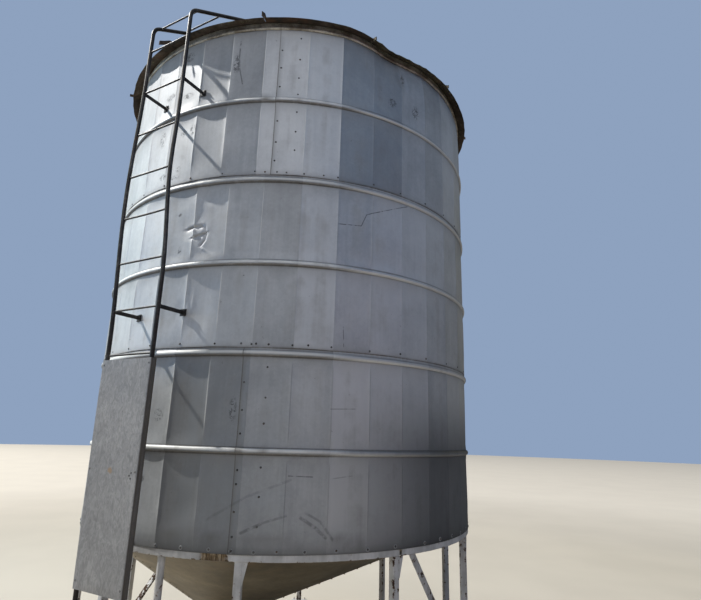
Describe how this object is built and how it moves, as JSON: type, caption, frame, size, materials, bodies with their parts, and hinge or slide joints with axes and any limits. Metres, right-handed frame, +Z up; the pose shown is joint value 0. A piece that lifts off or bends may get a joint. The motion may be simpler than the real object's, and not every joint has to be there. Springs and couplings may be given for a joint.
{
  "type": "grain silo",
  "caption": "Small farm grain silo: riveted, ribbed galvanised wall, conical rusted roof, off-centre hopper on a ring of legs, and a welded ladder with a sheet guard over its foot.",
  "frame": {"origin": "on the ground at the wall's axis", "axes": "+Z up; -Y is the side seen in the picture, with the ladder to the left of it; -X is the side the hopper's outlet leans to"},
  "size_m": [3.168, 3.168, 5.5004],
  "materials": {
    "galvanised_wall": "weathered spangled galvanising, dull grey",
    "galvanised_fittings": "weathered galvanising, scuffed",
    "rusted_roof": "rusted sheet with a dull brown film",
    "hopper_sheet": "dull galvanising with rust stains",
    "chipped_paint": "pale chipped paint over rusting steel",
    "dark_steel": "bare weathered steel, brown-black"
  },
  "bodies": {
    "root": {"wall_sheet_lower_1": "galvanised_wall", "wall_sheet_lower_2": "galvanised_wall", "wall_sheet_middle_1": "galvanised_wall", "wall_sheet_middle_2": "galvanised_wall", "wall_sheet_upper_1": "galvanised_wall", "wall_sheet_upper_2": "galvanised_wall", "top_rim": "galvanised_wall", "roof_panel_1": "rusted_roof", "roof_panel_2": "rusted_roof", "roof_panel_3": "rusted_roof", "roof_panel_4": "rusted_roof", "roof_panel_5": "rusted_roof", "roof_panel_6": "rusted_roof", "roof_panel_7": "rusted_roof", "roof_panel_8": "rusted_roof", "roof_panel_9": "rusted_roof", "roof_panel_10": "rusted_roof", "roof_panel_11": "rusted_roof", "roof_panel_12": "rusted_roof", "fill_collar": "galvanised_fittings", "fill_lid": "galvanised_fittings", "bottom_ring": "chipped_paint", "hopper_panel_1": "hopper_sheet", "hopper_panel_2": "hopper_sheet", "hopper_panel_3": "hopper_sheet", "hopper_panel_4": "hopper_sheet", "outlet_spigot": "hopper_sheet", "leg_1": "chipped_paint", "leg_2": "chipped_paint", "leg_3": "chipped_paint", "leg_4": "chipped_paint", "leg_5": "chipped_paint", "leg_6": "chipped_paint", "leg_7": "chipped_paint", "leg_8": "chipped_paint", "leg_9": "chipped_paint", "leg_10": "chipped_paint", "extra_post": "chipped_paint", "brace_1": "chipped_paint", "brace_2": "chipped_paint", "stile_left": "dark_steel", "stile_right": "dark_steel", "rung_1": "dark_steel", "rung_2": "dark_steel", "rung_3": "dark_steel", "rung_4": "dark_steel", "rung_5": "dark_steel", "rung_6": "dark_steel", "rung_7": "dark_steel", "rung_8": "dark_steel", "rung_9": "dark_steel", "rung_10": "dark_steel", "rung_11": "dark_steel", "rung_12": "dark_steel", "rung_13": "dark_steel", "rung_14": "dark_steel", "rung_15": "dark_steel", "rung_16": "dark_steel", "rung_17": "dark_steel", "ladder_guard": "galvanised_fittings"}
  },
  "joints": []
}
